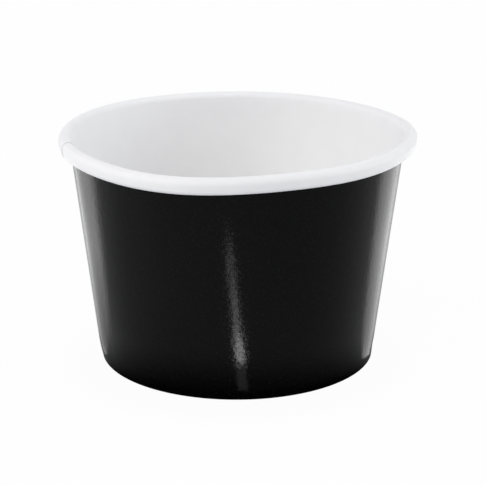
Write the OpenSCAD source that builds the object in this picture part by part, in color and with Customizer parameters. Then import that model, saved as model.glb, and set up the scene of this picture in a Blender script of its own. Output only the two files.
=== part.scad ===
/* [Cup] */
// Height from the table to the top of the rim
cup_h = 61; // [45:0.5:90]
// Diameter outside the rolled rim
rim_d = 93.9; // [86:0.1:110]
// Diameter outside the wall where it meets the table
base_d = 73.2; // [60:0.2:82]

/* [Board] */
// Thickness of the wall's coated board
wall_t = 0.4; // [0.25:0.05:0.55]
// Thickness of the base's coated board
base_t = 0.35; // [0.25:0.05:0.6]
// Glue line between two layers of board at the foot
glue_t = 0.02; // [0.01:0.01:0.05]

/* [Rolled rim] */
// Width of the roll, from the clear mouth to its outside
roll_w = 3.45; // [3:0.05:4.5]
// Height of the roll
roll_h = 4.5; // [4:0.1:7]
// Air between the roll's returning side and the wall at the seam
roll_gap = 0.1; // [0.05:0.05:0.3]
// Radius left inside the roll's tucked-in end, within both layers of the seam
tuck_in_r = 0.3; // [0.1:0.05:0.5]
// Angle that the tucked-in end turns through
tuck_turn = 100; // [30:5:120]

/* [Side seam] */
// Direction of the inner layer's edge, counted from +X
seam_dir = 196; // [0:1:359]
// Width of the lap where the two ends of the blank overlap
seam_w = 7; // [4:0.5:12]
// Length over which the outer layer settles back beside the lap
settle_w = 6; // [3:0.5:12]
// Slices in which the settling layer is drawn
settle_slices = 4; // [3:1:12]

/* [Foot] */
// Height of the base's upper face above the table
base_lift = 7; // [5:0.5:15]
// Gap between the wall's turned-up edge and the drawn corner of the base
turn_gap = 0.2; // [0.05:0.05:2]
// Outside radius of the base's drawn corner
drawn_r = 0.9; // [0.7:0.1:2]
// Depth by which the folded edge is pressed flat against the table
press_h = 0.12; // [0.08:0.02:0.2]

/* [Hidden] */
rim_r = rim_d / 2;
base_r = base_d / 2;

// Sides in which a full turn is drawn
$fn = 96;
// Depth by which a straight step may cut inside a bend, and the least steps in a bend and in the foot's fold
bend_tol = 0.035;
bend_least = 4;
fold_least = 6;
// Angle by which neighbouring stretches of the wall run into each other
weld = 0.3;
// Angle by which a full layer inside the roll tucks in further than the layer round it
tuck_lead = 20;

// The upper half of the roll is one arc, which the wall runs into
top_r = roll_w / 2;
top_c = [rim_r - top_r, cup_h - top_r];

// Lean of the wall: its outer side leaves the table at base_r and touches the upper arc's printed side
reach = norm(top_c - [base_r, 0]);
lean = atan2(top_c.x - base_r, top_c.y) - asin((top_r - wall_t) / reach);

// The lower half of the roll just clears the two layers at the seam
roll_low = cup_h - roll_h;
clear_of_wall = wall_t + roll_gap;
low_r = ((rim_r - base_r) * cos(lean) - roll_low * sin(lean) - clear_of_wall) / (1 + cos(lean) + sin(lean));
low_c = [rim_r - low_r, roll_low + low_r];
tuck_r = tuck_in_r + 2 * wall_t;
tuck_c = [low_c.x - low_r + tuck_r, low_c.y];

// The fold at the foot wraps the base's skirt, with a glue line on each side of it
fold_r = wall_t + base_t / 2 + glue_t;
fold_y = (fold_r - press_h - fold_r * sin(lean)) / cos(lean);

// The drawn corner of the base, in the wall's own frame and in the cup's
skirt_x = -wall_t - glue_t;
corner_x = skirt_x - drawn_r;
corner_y = (base_lift - drawn_r + corner_x * sin(lean)) / cos(lean);
corner_c = on_wall(corner_x, corner_y);
turn_top = corner_y - turn_gap;

// Angles of the seam
lap_angle = seam_w / base_r * 180 / PI;
settle_angle = settle_w / base_r * 180 / PI;
slice_angle = settle_angle / settle_slices;

// Radius and height of a point given outward from the wall's outer side and up along it
function on_wall(out, up) = [base_r, 0] + out * [cos(lean), -sin(lean)] + up * [sin(lean), cos(lean)];

// Points along a bend of radius r about c, from angle a to angle b
function bend(c, r, a, b, least = bend_least) =
    let (steps = max(least, ceil(abs(b - a) / (2 * acos(1 - bend_tol / r)))))
    [for (i = [0:steps]) c + r * [cos(a + (b - a) * i / steps), sin(a + (b - a) * i / steps)]];

// The fold's points, pressed flat where they would reach below the table
function fold(r) =
    [for (p = bend([-fold_r, fold_y], r, 180, 360, fold_least)) let (q = on_wall(p.x, p.y)) [q.x, max(q.y, 0)]];

// One side of the blank through the roll, moved by out towards the printed side, which is the inside of the roll.
// A layer that lies further in there tucks in further
function roll_side(out, layer_out) = concat(
    bend(top_c, top_r - out, 180 - lean, 0),
    bend(low_c, low_r - out, 0, -180),
    bend(tuck_c, tuck_r - out, 180, 180 - tuck_turn - tuck_lead * layer_out / wall_t)
);

function reversed(list) = [for (i = [len(list) - 1:-1:0]) list[i]];

// An outline without the points that repeat the one before
function distinct(list) = [for (i = [0:len(list) - 1]) if (i == 0 || norm(list[i] - list[i - 1]) > 0.001) list[i]];

// The whole blank in section, from the edge turned up inside the foot to the end tucked into the roll
module blank_section() {
    turned_edge = [on_wall(-2 * fold_r, turn_top), on_wall(wall_t - 2 * fold_r, turn_top)];
    white_side = concat(fold(fold_r - wall_t), roll_side(0, 0));
    printed_side = concat(fold(fold_r), roll_side(wall_t, 0));
    polygon(distinct(concat(reversed(printed_side), turned_edge, white_side)));
}

// A layer in section, lifted by out from the wall's own line and sunk by into in what it is glued to. It rises from
// the pressed foot, and the less it is lifted the higher it starts
module layer_section(out, into) {
    layer_foot = fold_y + 2 * wall_t - out;
    white_side = concat([on_wall(out - wall_t - into, layer_foot)], roll_side(out - into, out));
    printed_side = concat([on_wall(out, layer_foot)], roll_side(out + wall_t, out));
    polygon(distinct(concat(white_side, reversed(printed_side))));
}

// Part of the cup's turn, from one angle to another
module stretch(from, to) {
    rotate([0, 0, from])
        rotate_extrude(angle = to - from)
            children();
}

// The wall blank: cone, rolled rim, side seam and turned-up edge in one piece of board
module cup_wall() {
    color([0.09, 0.09, 0.095])
        union() {
            difference() {
                rotate_extrude()
                    blank_section();
                // Beside the inner layer's edge the board lies further out, from the base's underside up
                stretch(seam_dir, seam_dir + settle_angle)
                    translate([0, base_lift - base_t])
                        square([rim_d, cup_h]);
            }
            // The outer layer of the lap, glued to the inner one
            stretch(seam_dir - lap_angle, seam_dir + weld)
                layer_section(wall_t, wall_t / 2);
            // The outer layer beyond the lap, where it settles back onto the wall's own line
            for (i = [0:settle_slices - 1])
                stretch(seam_dir + i * slice_angle - weld, seam_dir + (i + 1) * slice_angle + weld)
                    layer_section(wall_t * (1 - (i + 0.5) / settle_slices), 0);
        }
}

// The base: a disc whose edge is drawn down into a skirt
module base_disc() {
    upper_side = concat([[0, base_lift]], bend(corner_c, drawn_r, 90, -lean), [on_wall(skirt_x, fold_y)]);
    lower_side = concat(
        [[0, base_lift - base_t]],
        bend(corner_c, drawn_r - base_t, 90, -lean),
        [on_wall(skirt_x - base_t, fold_y)]
    );
    color([0.93, 0.93, 0.92])
        rotate_extrude()
            polygon(concat(upper_side, reversed(lower_side)));
}

cup_wall();
base_disc();
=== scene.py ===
import math

import bpy
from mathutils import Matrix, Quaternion, Vector


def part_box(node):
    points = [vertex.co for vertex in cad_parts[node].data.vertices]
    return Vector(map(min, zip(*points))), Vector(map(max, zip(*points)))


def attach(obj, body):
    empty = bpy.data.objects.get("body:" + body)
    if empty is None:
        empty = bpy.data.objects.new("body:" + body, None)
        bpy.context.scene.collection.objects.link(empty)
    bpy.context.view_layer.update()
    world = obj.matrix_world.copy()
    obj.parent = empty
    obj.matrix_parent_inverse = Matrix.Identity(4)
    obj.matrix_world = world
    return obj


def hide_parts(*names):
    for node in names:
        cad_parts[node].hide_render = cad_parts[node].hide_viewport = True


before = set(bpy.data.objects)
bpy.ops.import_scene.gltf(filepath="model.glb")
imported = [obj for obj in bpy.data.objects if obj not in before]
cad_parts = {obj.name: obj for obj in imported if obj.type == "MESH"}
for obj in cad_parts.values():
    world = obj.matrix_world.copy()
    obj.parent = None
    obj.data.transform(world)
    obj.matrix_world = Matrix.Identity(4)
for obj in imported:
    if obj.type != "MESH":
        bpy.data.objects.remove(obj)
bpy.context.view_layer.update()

mm = 0.001
sameTurn = 0.05     # degrees, within which a vertex counts as lying in a direction
pickMargin = 1.0    # mm, added to a height that tells the wall from its folded edge or its roll
sharpAngle = 40     # degrees, past which an edge stays sharp


# Every operator works on what is selected, so each piece starts with nothing selected
def deselectAll():
    bpy.ops.object.select_all(action="DESELECT")


# Picks a piece's vertices by their place, in edit mode
def pickVerts(piece, test):
    bpy.ops.object.mode_set(mode="EDIT")
    bpy.ops.mesh.select_mode(type="VERT")
    bpy.ops.mesh.select_all(action="DESELECT")
    bpy.ops.object.mode_set(mode="OBJECT")
    for vertex in piece.data.vertices:
        vertex.select = test(vertex.co)
    bpy.ops.object.mode_set(mode="EDIT")


# Degrees from +X, counted anticlockwise from above, from 0 to 360
def angleOf(place):
    return math.degrees(math.atan2(place.y, place.x)) % 360


# A test for the vertices that lie in one direction from the axis, whichever way round it is counted
def lyingAt(direction):
    return lambda place: abs((angleOf(place) - direction + 180) % 360 - 180) < sameTurn


def smoothStep(share):
    return share * share * (3 - 2 * share)


# One edge after another is drawn from the vertex that is picked, which moves on to the end
def drawLine(here, there, parts):
    for part in range(parts):
        bpy.ops.mesh.extrude_region_move(TRANSFORM_OT_translate={"value": (there - here) / parts})
    return there


# Spins the picked vertex in the XZ plane. A positive turn goes anticlockwise as the front view shows it
def drawBend(here, centre, turn, parts):
    bpy.ops.mesh.spin(steps=parts, angle=math.radians(turn), center=centre, axis=(0, 1, 0))
    return centre + Quaternion((0, -1, 0), math.radians(turn)) @ (here - centre)


# Spins what is picked about the cup's axis. A positive turn goes anticlockwise from above
def spinAbout(turn, parts):
    bpy.ops.mesh.spin(steps=parts, angle=-math.radians(turn), center=(0, 0, 0), axis=(0, 0, 1))


# Smooth shading, except across the cut edges
def smoothPiece(piece):
    bpy.ops.object.mode_set(mode="OBJECT")
    deselectAll()
    piece.select_set(True)
    bpy.ops.object.shade_smooth_by_angle(angle=math.radians(sharpAngle))


def applyModifiers(piece):
    bpy.ops.object.mode_set(mode="OBJECT")
    for modifier in list(piece.modifiers):
        bpy.ops.object.modifier_apply(modifier=modifier.name)


wallLow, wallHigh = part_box("cup_wall")

# The wall blank, in millimetres and degrees
cupWall = {
    "height": wallHigh.z / mm,
    "rimRadius": wallHigh.x / mm,
    "footRadius": 36.55,
    "board": 0.4,
    "baseBoard": 0.35,      # the base's skirt, which the fold goes round
    "glue": 0.02,
    "rollWidth": 3.48,
    "rollHeight": 4.20,
    "rollGap": 0.1,
    "tuckRadius": 1.1,
    "tuckTurn": 100,
    "topSteps": 16,         # steps in the roll's upper bend, its side, its lower bend and its tucked end
    "sideRows": 2,
    "lowSteps": 14,
    "tuckSteps": 8,
    "turnUp": 5.6,
    "turnUpRows": 6,
    "foldSteps": 8,
    "press": 0.12,
    "seamAngle": 196,       # the inner layer's edge
    "seamLap": 7.0,
    "lapSteps": 8,
    "settle": 8.0,
    "settleSteps": 10,
    "seamFoot": 0.44,       # height below which nothing stands proud, because the foot is pressed
    "seamWall": 0.32,       # how far the lap stands proud on the wall
    "seamRoll": 0.15,       # and on the roll, which is pressed
    "toeIn": (0.992, 1.006),    # the pressed foot's scale from side to side, and from front to back
    "toeHeight": 0.6,
    "toeReach": 4.0,
    "roundSteps": 250,
    "wallRows": 26,
    # the rim as it has been handled, out of round: waves round it, how far out, and where a crest lies
    "rimWaves": [(1, 0.30, 186), (2, 0.28, 26), (3, 0.83, 13), (4, 0.18, 60), (5, 0.06, 14), (6, 0.25, 13)],
}


# Where the section's bends lie, worked out from the sizes above as the real blank is formed
class WallForm:
    def __init__(self, size):
        rim, foot = size["rimRadius"], size["footRadius"]
        self.topRadius = size["rollWidth"] / 2
        self.topCentre = (rim - self.topRadius, size["height"] - self.topRadius)
        across = self.topCentre[0] - foot
        reach = math.hypot(across, self.topCentre[1])
        printedRadius = self.topRadius - size["board"]
        self.lean = math.atan2(across, self.topCentre[1]) - math.asin(printedRadius / reach)
        self.foot = foot
        c, s = math.cos(self.lean), math.sin(self.lean)
        self.lowRadius = self.topRadius - size["board"] - size["rollGap"] / 2
        self.side = size["rollHeight"] - self.topRadius - self.lowRadius
        self.lowCentre = (self.topCentre[0] + (self.topRadius - self.lowRadius) * c - self.side * s,
                          self.topCentre[1] - (self.topRadius - self.lowRadius) * s - self.side * c)
        self.foldRadius = size["board"] + size["baseBoard"] / 2 + size["glue"]
        self.foldUp = (self.foldRadius - size["press"] - self.foldRadius * s) / c

    # A point given outward from the wall's printed side and up along it
    def onWall(self, out, up):
        c, s = math.cos(self.lean), math.sin(self.lean)
        return Vector((self.foot + out * c + up * s, 0, up * c - out * s)) * mm


# A point of the section, from its radius and height in millimetres
def at(pair):
    return Vector((pair[0], 0, pair[1])) * mm


# Where the rim lies further out than a round one, in a given direction
def rimOut(size, direction):
    return sum(far * math.cos(math.radians(count * (direction - crest)))
               for count, far, crest in size["rimWaves"])


# Leans the picked section about its foot, by what the rim's place changes from one direction to the next
def leanSection(size, form, before, now):
    further = rimOut(size, now) - (0 if before is None else rimOut(size, before))
    lean = math.atan(further / form.topCentre[1])
    turn = math.radians(now)
    foot = Vector((math.cos(turn), math.sin(turn), 0)) * size["footRadius"] * mm
    bpy.ops.transform.rotate(value=lean * math.sin(turn), orient_axis="X", center_override=foot)
    bpy.ops.transform.rotate(value=-lean * math.cos(turn), orient_axis="Y", center_override=foot)


# Spins the picked section on, step by step, and leans each new one as the rim asks
def spinSections(size, form, start, turn, parts):
    for part in range(parts):
        spinAbout(turn / parts, 1)
        leanSection(size, form, start + turn * part / parts, start + turn * (part + 1) / parts)


# Draws a piece's lower edge in, and what is near it by less
def pressFoot(piece, size):
    height, inner = size["toeHeight"] * mm, size["footRadius"] / 2 * mm
    pickVerts(piece, lambda place: place.z < height and place.xy.length > inner)
    bpy.ops.transform.resize(
        value=(*size["toeIn"], 1), center_override=(0, 0, 0), use_proportional_edit=True,
        proportional_edit_falloff="SMOOTH", proportional_size=size["toeReach"] * mm)


def makeCupWall(size):
    form = WallForm(size)
    board = size["board"]

    # the white side in section, from the edge turned up inside the foot to the end tucked into the roll
    deselectAll()
    bpy.ops.mesh.primitive_plane_add(size=mm)
    piece = bpy.context.object
    piece.name = piece.data.name = "cup_wall_board"
    bpy.ops.object.mode_set(mode="EDIT")
    bpy.ops.mesh.select_mode(type="VERT")
    bpy.ops.mesh.merge(type="CENTER")
    here = form.onWall(board - 2 * form.foldRadius, form.foldUp + size["turnUp"])
    bpy.ops.transform.translate(value=here)
    here = drawLine(here, form.onWall(board - 2 * form.foldRadius, form.foldUp), size["turnUpRows"])
    here = drawBend(here, form.onWall(-form.foldRadius, form.foldUp), 180, size["foldSteps"])
    topCentre = at(form.topCentre)
    bendStart = Quaternion((0, -1, 0), math.pi - form.lean) @ Vector((form.topRadius * mm, 0, 0))
    here = drawLine(here, topCentre + bendStart, size["wallRows"])
    here = drawBend(here, topCentre, -180, size["topSteps"])
    down = Vector((-math.sin(form.lean), 0, -math.cos(form.lean))) * mm
    outward = Vector((math.cos(form.lean), 0, -math.sin(form.lean))) * mm
    here = drawLine(here, here + down * form.side, size["sideRows"])
    here = drawBend(here, at(form.lowCentre), -180, size["lowSteps"])
    drawBend(here, here + outward * size["tuckRadius"], -size["tuckTurn"], size["tuckSteps"])

    seam, steps = size["seamAngle"], size["settleSteps"]
    lapTurn = math.degrees(size["seamLap"] / size["footRadius"])
    settleTurn = math.degrees(size["settle"] / size["footRadius"])
    foldTop = (form.foldUp + size["turnUp"] + pickMargin) * mm
    innerSide = form.onWall(-form.foldRadius, 0).x
    rollFoot = (size["height"] - size["rollHeight"] - pickMargin) * mm

    # what lies further out at the seam: the wall, and by less the roll, which is pressed
    def onSheet(place):
        turnedUp = place.z < foldTop and place.xy.length < innerSide + place.z * math.tan(form.lean)
        return place.z > size["seamFoot"] * mm and not turnedUp

    def moveOut(share, test):
        pickVerts(piece, lambda place: test(place) and onSheet(place) and place.z < rollFoot)
        bpy.ops.transform.shrink_fatten(value=-share * size["seamWall"] * mm)
        pickVerts(piece, lambda place: test(place) and onSheet(place) and place.z >= rollFoot)
        bpy.ops.transform.shrink_fatten(value=-share * size["seamRoll"] * mm)

    # the lap first, then the stretch where the outer layer settles, then the way round
    bpy.ops.mesh.select_all(action="SELECT")
    lapEdge = seam - lapTurn
    bpy.ops.transform.rotate(value=-math.radians(lapEdge), orient_axis="Z", center_override=(0, 0, 0))
    leanSection(size, form, None, lapEdge)
    spinSections(size, form, lapEdge, lapTurn, size["lapSteps"])
    moveOut(1, lambda place: True)
    lift = 1
    for step in range(1, steps + 1):
        before = seam + settleTurn * (step - 1) / steps
        now = seam + settleTurn * step / steps
        pickVerts(piece, lyingAt(before))
        spinSections(size, form, before, now - before, 1)
        wanted = 1 - smoothStep(step / steps)
        moveOut(wanted - lift, lyingAt(now))
        lift = wanted
    pickVerts(piece, lyingAt(seam + settleTurn))
    spinSections(size, form, seam + settleTurn, 360 - settleTurn, size["roundSteps"])
    print("blank spun:", len(piece.data.vertices))

    # the board's thickness, from the white side to the printed one, and its cut edges
    bpy.ops.object.mode_set(mode="OBJECT")
    solid = piece.modifiers.new("board", "SOLIDIFY")
    solid.thickness = board * mm
    solid.offset = -1
    solid.material_offset = 1
    solid.material_offset_rim = 2
    for finish in (whiteSide(), printedSide(), cutEdge()):
        piece.data.materials.append(finish)
    applyModifiers(piece)

    # the foot is pressed in a little, and flat where the cup stands
    pressFoot(piece, size)
    pickVerts(piece, lambda place: place.z < 0)
    bpy.ops.transform.resize(value=(1, 1, 0), center_override=(0, 0, 0))
    smoothPiece(piece)
    print("wall made:", len(piece.data.polygons))
    return piece


# The base: a disc of board, drawn so that its edge turns down into a skirt inside the fold
baseDisc = {
    "board": cupWall["baseBoard"],
    "lift": 7.0,            # its upper side above the table
    "drawnRadius": 0.9,
    "floorRows": 8,
    "cornerSteps": 8,
    "skirtRows": 5,
    "roundSteps": 180,
}


def makeBaseDisc(size, form, glue, wallBoard):
    skirt = -wallBoard - glue
    cornerOut = skirt - size["drawnRadius"]
    c, s = math.cos(form.lean), math.sin(form.lean)
    cornerUp = (size["lift"] - size["drawnRadius"] + cornerOut * s) / c
    corner = form.onWall(cornerOut, cornerUp)
    deselectAll()
    bpy.ops.mesh.primitive_plane_add(size=mm)
    piece = bpy.context.object
    piece.name = piece.data.name = "base_disc_board"
    bpy.ops.object.mode_set(mode="EDIT")
    bpy.ops.mesh.select_mode(type="VERT")
    bpy.ops.mesh.merge(type="CENTER")
    here = Vector((0, 0, size["lift"] * mm))
    bpy.ops.transform.translate(value=here)
    here = drawLine(here, corner + Vector((0, 0, size["drawnRadius"] * mm)), size["floorRows"])
    here = drawBend(here, corner, -90 - math.degrees(form.lean), size["cornerSteps"])
    drawLine(here, form.onWall(skirt, form.foldUp), size["skirtRows"])
    bpy.ops.mesh.select_all(action="SELECT")
    spinAbout(360, size["roundSteps"])
    bpy.ops.mesh.select_all(action="SELECT")
    bpy.ops.mesh.remove_doubles(threshold=0.001 * mm)
    bpy.ops.object.mode_set(mode="OBJECT")
    solid = piece.modifiers.new("board", "SOLIDIFY")
    solid.thickness = size["board"] * mm
    solid.offset = -1
    piece.data.materials.append(drawnSide())
    applyModifiers(piece)
    pressFoot(piece, cupWall)
    smoothPiece(piece)
    print("base made:", len(piece.data.polygons))
    return piece


# A socket that takes part in sums, each of which adds its Math node
class Wire:
    def __init__(self, finish, socket):
        self.finish = finish
        self.socket = socket

    def combine(self, operation, first, second):
        return self.finish.node("ShaderNodeMath", {"operation": operation}, {0: first, 1: second})

    def sine(self):
        return self.finish.node("ShaderNodeMath", {"operation": "SINE"}, {0: self})

    def __add__(self, other):
        return self.combine("ADD", self, other)

    def __radd__(self, other):
        return self.combine("ADD", other, self)

    def __sub__(self, other):
        return self.combine("SUBTRACT", self, other)

    def __rsub__(self, other):
        return self.combine("SUBTRACT", other, self)

    def __mul__(self, other):
        return self.combine("MULTIPLY", self, other)

    def __rmul__(self, other):
        return self.combine("MULTIPLY", other, self)

    def __pow__(self, other):
        return self.combine("POWER", self, other)


# A material under construction, or a world
class Finish:
    def __init__(self, name, kept=bpy.data.materials):
        self.made = kept.new(name)
        self.made.use_nodes = True
        self.tree = self.made.node_tree
        self.tree.nodes.clear()

    # Adds a node, and gives back one of its outputs
    def node(self, kind, settings=None, sockets=None, output=0):
        made = self.tree.nodes.new(kind)
        for name, value in (settings or {}).items():
            setattr(made, name, value)
        for name, value in (sockets or {}).items():
            if isinstance(value, Wire):
                self.tree.links.new(value.socket, made.inputs[name])
            else:
                made.inputs[name].default_value = value
        return Wire(self, made.outputs[output]) if made.outputs else made

    # Noise in the piece's own place, with its grain size in millimetres
    def noise(self, grain, detail=3, rough=0.5):
        place = self.node("ShaderNodeTexCoord", output="Object")
        return self.node("ShaderNodeTexNoise", None, {
            "Vector": place, "Scale": 1 / (grain * mm), "Detail": detail, "Roughness": rough})

    # A value brought from one range to another, and held inside it
    def fit(self, value, fromLow, fromHigh, toLow, toHigh):
        return self.node("ShaderNodeMapRange", None, {
            "Value": value, 1: fromLow, 2: fromHigh, 3: toLow, 4: toHigh})

    # The same for a place or a distance, whose range is given in millimetres
    def rise(self, place, span, toLow, toHigh):
        return self.fit(place, span[0] * mm, span[1] * mm, toLow, toHigh)

    def blend(self, share, first, second):
        return self.node("ShaderNodeMix", {"data_type": "RGBA"}, {0: share, 6: first, 7: second}, output=2)

    # A relief of the given depth in millimetres, on top of another one where there is one
    def bump(self, height, depth, under=None):
        sockets = {"Height": height, "Distance": depth * mm}
        if under:
            sockets["Normal"] = under
        return self.node("ShaderNodeBump", None, sockets)

    # One coordinate of the piece's own place
    def place(self, axis):
        whole = self.node("ShaderNodeTexCoord", output="Object")
        return self.node("ShaderNodeSeparateXYZ", None, {"Vector": whole}, output=axis)

    # Distance from the cup's axis, or from a place ahead of it, and the direction round it in radians
    def polar(self, ahead=0):
        x, y = self.place("X"), self.place("Y") + ahead
        return (x * x + y * y) ** 0.5, x.combine("ARCTAN2", y, x)

    # The shader itself and the material's output
    def surface(self, **sockets):
        values = {name.replace("_", " "): value for name, value in sockets.items()}
        shader = self.node("ShaderNodeBsdfPrincipled", None, values)
        self.node("ShaderNodeOutputMaterial", None, {"Surface": shader})
        return self.made

    # How far the camera, glass and gloss see plain white here instead of what lights the cup
    def whiteShare(self, inGloss=1):
        toCamera, toGlass, toGloss = (self.node("ShaderNodeLightPath", output=ray)
                                      for ray in ("Is Camera Ray", "Is Transmission Ray", "Is Glossy Ray"))
        return (toCamera + toGlass + toGloss * inGloss) * studio["white"]


noiseSpan = (0.35, 0.65)    # where most of a noise's values lie, and where nearly all of them do
noiseReach = (0.3, 0.7)

whiteLook = {
    "colour": (0.900, 0.896, 0.891, 1),
    "shade": (0.888, 0.884, 0.879, 1),   # where the fibres show through
    "roughness": (0.36, 0.48),
    "specular": 0.10,
    "grain": 0.35,
    "grainDepth": 0.004,
    "clouds": 6.0,
    "pleats": 46,           # for every radian round the drawn edge of the base
    "pleatDepth": 0.12,
    "pleatStart": (34.4, 35.6),     # the radii between which they rise
}


# The white board's colour and roughness, and the height that its fibres give
def whiteBoard(finish):
    look = whiteLook
    fibres = finish.noise(look["grain"], detail=4, rough=0.6)
    clouds = finish.noise(look["clouds"], detail=2)
    colour = finish.blend(finish.fit(clouds, *noiseSpan, 0, 1), look["colour"], look["shade"])
    rough = finish.fit(fibres, *noiseReach, *look["roughness"])
    return colour, rough, fibres


def whiteSide():
    finish = Finish("white_coated_side")
    colour, rough, fibres = whiteBoard(finish)
    return finish.surface(
        Base_Color=colour, Roughness=rough, Specular_IOR_Level=whiteLook["specular"],
        Normal=finish.bump(fibres, whiteLook["grainDepth"]))


# The base is of the same board, with fine pleats where its edge was drawn down
def drawnSide():
    finish = Finish("white_drawn_base")
    colour, rough, fibres = whiteBoard(finish)
    radius, turn = finish.polar()
    along = finish.node("ShaderNodeCombineXYZ", None, {"X": turn * whiteLook["pleats"]})
    pleats = finish.node("ShaderNodeTexNoise", None, {"Vector": along, "Scale": 1.0, "Detail": 2.0})
    edge = finish.rise(radius, whiteLook["pleatStart"], 0, 1)
    depth = finish.bump(pleats * edge, whiteLook["pleatDepth"])
    return finish.surface(
        Base_Color=colour, Roughness=rough, Specular_IOR_Level=whiteLook["specular"],
        Normal=finish.bump(fibres, whiteLook["grainDepth"], under=depth))


printLook = {
    "colour": (0.0006, 0.0006, 0.0007, 1),
    "worn": (0.010, 0.010, 0.011, 1),   # where the fibres show through the ink
    "wornFrom": (0.58, 0.70),
    "index": 1.18,          # a thin matt varnish, which shines little except edge-on
    "roughness": (0.05, 0.21),      # from bare varnish to standing fibres, which break up a reflection
    "tooth": 0.6,
    "toothFrom": (0.44, 0.60),
    "grain": 0.35,
    "grainDepth": 0.014,
    "mottle": 1.2,
    "mottleDepth": 0.05,
    "knurls": 150,          # ridges pressed into the turned-up edge, round the foot
    "knurlDepth": 0.1,
    "knurlEnd": (36.1, 36.25),      # the radii between which they fade out
}


def printedSide():
    look = printLook
    finish = Finish("black_printed_side")
    fibres = finish.noise(look["grain"], detail=3, rough=0.6)
    mottle = finish.noise(look["mottle"], detail=3, rough=0.6)
    tooth = finish.noise(look["tooth"], detail=3, rough=0.7)
    colour = finish.blend(finish.fit(fibres, *look["wornFrom"], 0, 1), look["colour"], look["worn"])
    rough = finish.fit(tooth, *look["toothFrom"], *look["roughness"])
    radius, turn = finish.polar()
    turnedUp = finish.rise(radius, look["knurlEnd"], 1, 0)
    ridges = (turn * look["knurls"]).sine()
    pressed = finish.bump(ridges * turnedUp, look["knurlDepth"])
    uneven = finish.bump(mottle, look["mottleDepth"], under=pressed)
    return finish.surface(
        Base_Color=colour, Roughness=rough, IOR=look["index"],
        Normal=finish.bump(fibres, look["grainDepth"], under=uneven))


edgeLook = {
    "colour": (0.77, 0.76, 0.74, 1),
    "shade": (0.70, 0.68, 0.65, 1),
    "roughness": 0.9,
    "grain": 0.15,
    "grainDepth": 0.03,
}


def cutEdge():
    look = edgeLook
    finish = Finish("cut_board_edge")
    fibres = finish.noise(look["grain"], detail=3, rough=0.7)
    colour = finish.blend(finish.fit(fibres, *noiseSpan, 0, 1), look["colour"], look["shade"])
    return finish.surface(
        Base_Color=colour, Roughness=look["roughness"], Normal=finish.bump(fibres, look["grainDepth"]))


wall = makeCupWall(cupWall)
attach(wall, "root")
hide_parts("cup_wall")

base = makeBaseDisc(baseDisc, WallForm(cupWall), cupWall["glue"], cupWall["board"])
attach(base, "root")
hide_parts("base_disc")


# The studio: a pale floor, soft lamps, and the camera where the photograph was taken
studio = {
    "floorSize": 8.0,           # metres
    "floorDrop": 0.02,          # mm, so that the foot and the floor don't share a plane
    "floorColour": (0.82, 0.83, 0.84, 1),
    # painted shadow: the floor's colour is made dark close round the foot, and the print reflects it
    "paintedShadowColour": (0.06, 0.06, 0.06, 1),
    "paintedShadowAhead": 8,            # mm, the middle of the painted shadow round the foot lies this far ahead of the axis
    "paintedShadowReach": (33, 49),
    # painted reflection: in gloss only, the floor glows less towards the right and beside the cup, and the
    # print reflects that
    "across": (-60, 60),
    "along": (-62, -18),
    "aheadPaintedReflection": (1.1, 0.22),
    "besidePaintedReflection": (0.25, 0.42),
    "white": 0.97,              # how far the camera sees the floor and the backdrop as plain white
    "worldColour": (0.89, 0.90, 1.0, 1),
    "worldStrength": 0.52,
}

# Lamps, with places and sizes in metres and power in watts
lampsTowards = (0, 0, 0.05)
lamps = {
    "key_left": {"place": (-0.9, -0.25, 0.75), "size": (0.6, 0.6), "power": 3.5, "colour": (1, 0.98, 0.98)},
    "front_high": {"place": (-0.5, -0.8, 0.9), "size": (0.9, 0.9), "power": 5.0, "colour": (1, 1, 0.92)},
    "side_right": {"place": (1.1, 0.1, 0.5), "size": (0.8, 0.8), "power": 5.8, "colour": (0.98, 1, 0.95)},
}

# Glowing strips low over the floor, which show only in gloss. Middle, and size across and along, in mm
stripHeight = 0.2
strips = {
    "streak_far": {"middle": (2.4, -96.0), "size": (3.8, 24), "glow": 9.5},
    "streak_middle": {"middle": (2.4, -73.5), "size": (3.8, 21), "glow": 12.0},
    "streak_near": {"middle": (2.4, -57.5), "size": (4.0, 11), "glow": 26.0},
    "streak_end": {"middle": (2.0, -47.0), "size": (3.6, 10), "glow": 1.4},
}

# Glowing sheets beside the cup, which show only in gloss too. Corners in mm, and glow near the cup and far
sheetHeight = 0.1
sheetFade = (42, 105)       # mm from the axis, from the near glow to the far one
sheets = {
    "sheet_left": {"corners": [(-38, -8.5), (-220, 96), (-130, 207.7), (-38, -5)], "glow": (0.95, 2.3)},
    "sheet_right": {"corners": [(37, -12), (37, -6.2), (130, 207.7), (220, 99.6)], "glow": (1.4, 2.2)},
}

camera = {
    "target": (0, 0, 30),       # mm
    "distance": 480,            # mm
    "elevation": 17.816,
    "roll": -0.109,
    "lens": 133.09,             # mm
    "sensor": 36,               # mm
    "clipEnd": 20,              # metres
    "framePixels": 485,
    "targetPixel": (237.0, 242.6),
}


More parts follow.
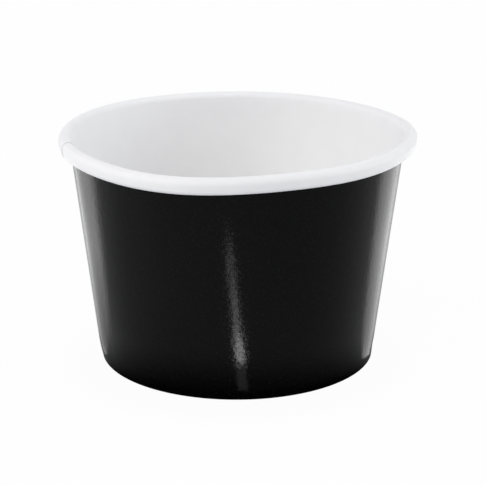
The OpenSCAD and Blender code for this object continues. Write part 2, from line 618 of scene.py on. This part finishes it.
def makeFloor():
    deselectAll()
    bpy.ops.mesh.primitive_plane_add(size=studio["floorSize"], location=(0, 0, -studio["floorDrop"] * mm))
    floor = bpy.context.object
    floor.name = "studio_floor"
    finish = Finish("studio_floor")
    across, along = finish.place("X"), finish.place("Y")
    # painted shadow: the floor's colour darkens close round the foot, more ahead of the cup
    radius, _ = finish.polar(ahead=studio["paintedShadowAhead"] * mm)
    clear = finish.rise(radius, studio["paintedShadowReach"], 0, 1)
    paintedShadowFloorColour = finish.blend(clear, studio["paintedShadowColour"], studio["floorColour"])
    matte = finish.node("ShaderNodeBsdfPrincipled", None, {
        "Base Color": paintedShadowFloorColour, "Roughness": 1.0, "Specular IOR Level": 0.0})
    white = finish.node("ShaderNodeEmission", None, {"Color": (1, 1, 1, 1), "Strength": 1.0})
    # painted reflection: how strongly the floor glows in gloss, changing by place
    ahead = finish.rise(across, studio["across"], *studio["aheadPaintedReflection"])
    beside = finish.rise(across, studio["across"], *studio["besidePaintedReflection"])
    paintedReflectionGlow = ahead + (beside - ahead) * finish.rise(along, studio["along"], 0, 1)
    # the painted shadow fades that glow close round the foot as well
    share = finish.whiteShare(clear * paintedReflectionGlow)
    seen = finish.node("ShaderNodeMixShader", None, {0: share, 1: matte, 2: white})
    finish.node("ShaderNodeOutputMaterial", None, {"Surface": seen})
    floor.data.materials.append(finish.made)


def makeWorld():
    finish = Finish("studio_world", bpy.data.worlds)
    light = finish.node("ShaderNodeBackground", None, {
        "Color": studio["worldColour"], "Strength": studio["worldStrength"]})
    white = finish.node("ShaderNodeBackground", None, {"Color": (1, 1, 1, 1), "Strength": 1.0})
    seen = finish.node("ShaderNodeMixShader", None, {0: finish.whiteShare(), 1: light, 2: white})
    finish.node("ShaderNodeOutputWorld", None, {"Surface": seen})
    bpy.context.scene.world = finish.made


def addLamp(name, place, facing, size, power, colour=(1, 1, 1)):
    deselectAll()
    bpy.ops.object.light_add(type="AREA", location=place)
    lamp = bpy.context.object
    lamp.name = name
    lamp.rotation_mode = "QUATERNION"
    lamp.rotation_quaternion = facing
    lamp.data.shape = "RECTANGLE"
    lamp.data.size, lamp.data.size_y = size
    lamp.data.energy = power
    lamp.data.color = colour
    return lamp


def makeLamps():
    for name, lamp in lamps.items():
        facing = (Vector(lampsTowards) - Vector(lamp["place"])).to_track_quat("-Z", "Y")
        addLamp(name, lamp["place"], facing, lamp["size"], lamp["power"], lamp["colour"])
    upwards = Quaternion((1, 0, 0), math.pi)
    for name, strip in strips.items():
        width, length = Vector(strip["size"]) * mm
        place = Vector((*strip["middle"], stripHeight)) * mm
        lamp = addLamp(name, place, upwards, (width, length), strip["glow"] * math.pi * width * length)
        lamp.visible_camera = False
        lamp.visible_diffuse = False


def makeSheets():
    for name, sheet in sheets.items():
        corners = [Vector((x, y, sheetHeight)) * mm for x, y in sheet["corners"]]
        deselectAll()
        bpy.ops.mesh.primitive_plane_add(size=mm)
        made = bpy.context.object
        made.name = name
        bpy.ops.object.mode_set(mode="EDIT")
        bpy.ops.mesh.select_mode(type="VERT")
        bpy.ops.mesh.merge(type="CENTER")
        bpy.ops.transform.translate(value=corners[0])
        for before, corner in zip(corners, corners[1:]):
            drawLine(before, corner, 1)
        bpy.ops.mesh.select_all(action="SELECT")
        bpy.ops.mesh.edge_face_add()
        bpy.ops.mesh.normals_make_consistent(inside=False)
        bpy.ops.object.mode_set(mode="OBJECT")
        finish = Finish(name)
        near, far = (finish.node("ShaderNodeEmission", None, {"Strength": glow}) for glow in sheet["glow"])
        radius, _ = finish.polar()
        fade = finish.rise(radius, sheetFade, 0, 1)
        glow = finish.node("ShaderNodeMixShader", None, {0: fade, 1: near, 2: far})
        finish.node("ShaderNodeOutputMaterial", None, {"Surface": glow})
        made.data.materials.append(finish.made)
        made.visible_camera = False
        made.visible_diffuse = False
        made.visible_shadow = False


def makeCamera():
    target = Vector(camera["target"]) * mm
    rise = math.radians(camera["elevation"])
    backward = Vector((0, -math.cos(rise), math.sin(rise)))
    facing = (-backward).to_track_quat("-Z", "Y")
    facing = facing @ Quaternion((0, 0, 1), math.radians(camera["roll"]))
    # the aim is turned a little, so that the target lands on its own pixel
    focal = camera["lens"] / camera["sensor"] * camera["framePixels"]
    middle = camera["framePixels"] / 2
    right = (middle - camera["targetPixel"][0]) / focal
    down = (middle - camera["targetPixel"][1]) / focal
    turn = Quaternion((0, 1, 0), -right) @ Quaternion((1, 0, 0), -down)
    deselectAll()
    bpy.ops.object.camera_add(location=target + backward * camera["distance"] * mm)
    made = bpy.context.object
    made.name = "photo_camera"
    made.rotation_mode = "QUATERNION"
    made.rotation_quaternion = facing @ turn
    made.data.lens = camera["lens"]
    made.data.sensor_width = camera["sensor"]
    made.data.clip_end = camera["clipEnd"]
    bpy.context.scene.camera = made


makeFloor()
makeWorld()
makeLamps()
makeSheets()
makeCamera()
bpy.context.scene.view_settings.view_transform = "Standard"
print("studio ready")
